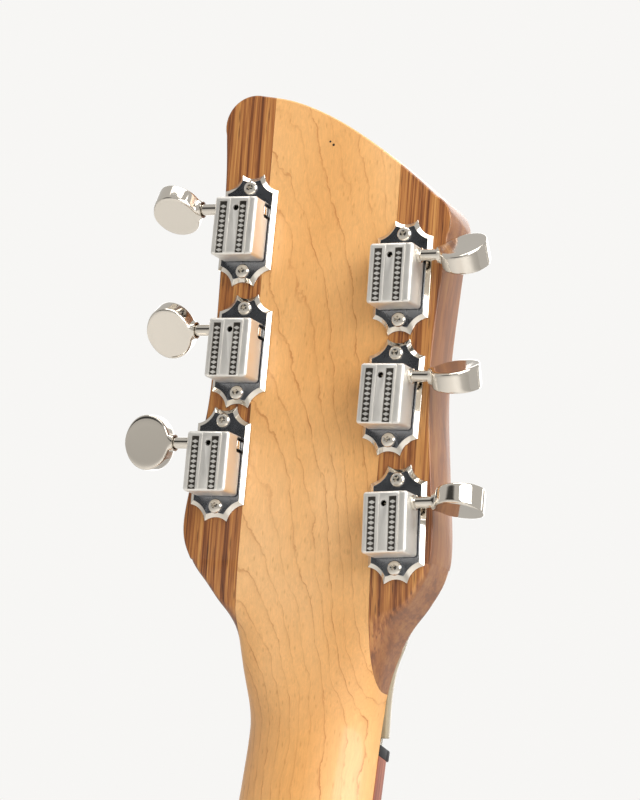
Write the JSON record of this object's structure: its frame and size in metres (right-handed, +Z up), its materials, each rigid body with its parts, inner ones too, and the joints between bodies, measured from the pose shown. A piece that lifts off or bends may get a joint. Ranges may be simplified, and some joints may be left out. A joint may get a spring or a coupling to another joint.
{
  "type": "electric guitar",
  "caption": "Solid-body electric guitar with a slanted, back-angled headstock, maple centre, walnut wings and enclosed geared tuners.",
  "frame": {"origin": "on the neck's centre line at the nut, on the glue plane between neck and fingerboard, where a wall hanger's yoke holds the neck under the headstock", "axes": "+Z up the neck to the headstock, -Y out of the front where the strings are, -X the bass side"},
  "size_m": [0.324, 0.0844, 1.0214],
  "materials": {
    "maple": "gloss lacquer over honey-coloured maple",
    "walnut": "gloss lacquer over streaked walnut",
    "rosewood": "oiled open-grained rosewood",
    "nickel": "polished nickel plate",
    "steel": "plain steel",
    "nut_black": "satin black",
    "cream_plastic": "cream, lightly glossy",
    "black_plastic": "black, satin gloss"
  },
  "bodies": {
    "guitar": {"neck_core": "maple", "headstock_wing_treble": "walnut", "headstock_wing_bass": "walnut", "truss_rod": "steel", "fingerboard": "rosewood", "nut": "nut_black", "truss_rod_cover": "cream_plastic", "body_wing_bass": "walnut", "body_wing_treble": "walnut", "control_cover": "black_plastic", "volume_pot": "steel", "tone_pot": "steel", "selector_switch": "steel", "output_jack": "nickel", "pickguard": "cream_plastic", "neck_pickup": "nickel", "bridge_pickup": "nickel", "bridge": "nickel", "tailpiece": "nickel", "strap_button_tail": "nickel", "strap_button_horn": "nickel", "string_1": "steel", "string_2": "steel", "string_3": "steel", "string_4": "nickel", "string_5": "nickel", "string_6": "nickel", "base_plate_treble_far": "nickel", "gear_cover_treble_far": "nickel", "base_plate_treble_mid": "nickel", "gear_cover_treble_mid": "nickel", "base_plate_treble_near": "nickel", "gear_cover_treble_near": "nickel", "base_plate_bass_far": "nickel", "gear_cover_bass_far": "nickel", "base_plate_bass_mid": "nickel", "gear_cover_bass_mid": "nickel", "base_plate_bass_near": "nickel", "gear_cover_bass_near": "nickel"},
    "volume_control": {"volume_knob": "black_plastic"},
    "tone_control": {"tone_knob": "black_plastic"},
    "selector": {"selector_lever": "cream_plastic"},
    "button_treble_far": {"button_treble_far": "nickel", "worm_shaft_treble_far": "nickel"},
    "post_treble_far": {"string_post_treble_far": "nickel"},
    "button_treble_mid": {"button_treble_mid": "nickel", "worm_shaft_treble_mid": "nickel"},
    "post_treble_mid": {"string_post_treble_mid": "nickel"},
    "button_treble_near": {"button_treble_near": "nickel", "worm_shaft_treble_near": "nickel"},
    "post_treble_near": {"string_post_treble_near": "nickel"},
    "button_bass_far": {"button_bass_far": "nickel", "worm_shaft_bass_far": "nickel"},
    "post_bass_far": {"string_post_bass_far": "nickel"},
    "button_bass_mid": {"button_bass_mid": "nickel", "worm_shaft_bass_mid": "nickel"},
    "post_bass_mid": {"string_post_bass_mid": "nickel"},
    "button_bass_near": {"button_bass_near": "nickel", "worm_shaft_bass_near": "nickel"},
    "post_bass_near": {"string_post_bass_near": "nickel"}
  },
  "joints": [
    {"name": "turn_button_treble_far", "type": "hinge", "parent": "guitar", "child": "button_treble_far", "pos_m": [0.02771, 0.0536, 0.15884], "axis": [-0.9999, -0.0029, -0.0167], "continuous": true},
    {"name": "turn_post_treble_far", "type": "hinge", "parent": "guitar", "child": "post_treble_far", "pos_m": [0.02782, 0.04628, 0.15363], "axis": [0, 0.9848, -0.1736], "continuous": true},
    {"name": "turn_button_treble_mid", "type": "hinge", "parent": "guitar", "child": "button_treble_mid", "pos_m": [0.02624, 0.04687, 0.12068], "axis": [-0.9999, -0.0021, -0.0117], "continuous": true},
    {"name": "turn_post_treble_mid", "type": "hinge", "parent": "guitar", "child": "post_treble_mid", "pos_m": [0.02631, 0.03955, 0.11547], "axis": [0, 0.9848, -0.1736], "continuous": true},
    {"name": "turn_button_treble_near", "type": "hinge", "parent": "guitar", "child": "button_treble_near", "pos_m": [0.03031, 0.04068, 0.08557], "axis": [-1, -0.0013, -0.0076], "continuous": true},
    {"name": "turn_post_treble_near", "type": "hinge", "parent": "guitar", "child": "post_treble_near", "pos_m": [0.03036, 0.03336, 0.08036], "axis": [0, 0.9848, -0.1736], "continuous": true},
    {"name": "turn_button_bass_far", "type": "hinge", "parent": "guitar", "child": "button_bass_far", "pos_m": [-0.02586, 0.05076, 0.14274], "axis": [-1, 0.0012, 0.007], "continuous": true},
    {"name": "turn_post_bass_far", "type": "hinge", "parent": "guitar", "child": "post_bass_far", "pos_m": [-0.02591, 0.04344, 0.13753], "axis": [0, 0.9848, -0.1736], "continuous": true},
    {"name": "turn_button_bass_mid", "type": "hinge", "parent": "guitar", "child": "button_bass_mid", "pos_m": [-0.02588, 0.04429, 0.10605], "axis": [-0.9999, -0.0025, -0.0143], "continuous": true},
    {"name": "turn_post_bass_mid", "type": "hinge", "parent": "guitar", "child": "post_bass_mid", "pos_m": [-0.02579, 0.03697, 0.10085], "axis": [0, 0.9848, -0.1736], "continuous": true},
    {"name": "turn_button_bass_near", "type": "hinge", "parent": "guitar", "child": "button_bass_near", "pos_m": [-0.02992, 0.03751, 0.06764], "axis": [-0.9991, 0.0073, 0.0414], "continuous": true},
    {"name": "turn_post_bass_near", "type": "hinge", "parent": "guitar", "child": "post_bass_near", "pos_m": [-0.03019, 0.0302, 0.06244], "axis": [0, 0.9848, -0.1736], "continuous": true},
    {"name": "turn_volume", "type": "hinge", "parent": "guitar", "child": "volume_control", "pos_m": [0.064, -0.01, -0.664], "axis": [0, -1, 0], "range_deg": [-150, 120]},
    {"name": "turn_tone", "type": "hinge", "parent": "guitar", "child": "tone_control", "pos_m": [0.098, -0.01, -0.702], "axis": [0, -1, 0], "range_deg": [-150, 120]},
    {"name": "tilt_selector", "type": "hinge", "parent": "guitar", "child": "selector", "pos_m": [0.1, 0.003, -0.64], "axis": [1, 0, 0], "range_deg": [-12, 12]}
  ],
  "couplings": [
    {"joint": "turn_post_treble_far", "follows": "turn_button_treble_far", "ratio": -0.066667},
    {"joint": "turn_post_treble_mid", "follows": "turn_button_treble_mid", "ratio": -0.066667},
    {"joint": "turn_post_treble_near", "follows": "turn_button_treble_near", "ratio": -0.066667},
    {"joint": "turn_post_bass_far", "follows": "turn_button_bass_far", "ratio": 0.066667},
    {"joint": "turn_post_bass_mid", "follows": "turn_button_bass_mid", "ratio": 0.066667},
    {"joint": "turn_post_bass_near", "follows": "turn_button_bass_near", "ratio": 0.066667}
  ]
}
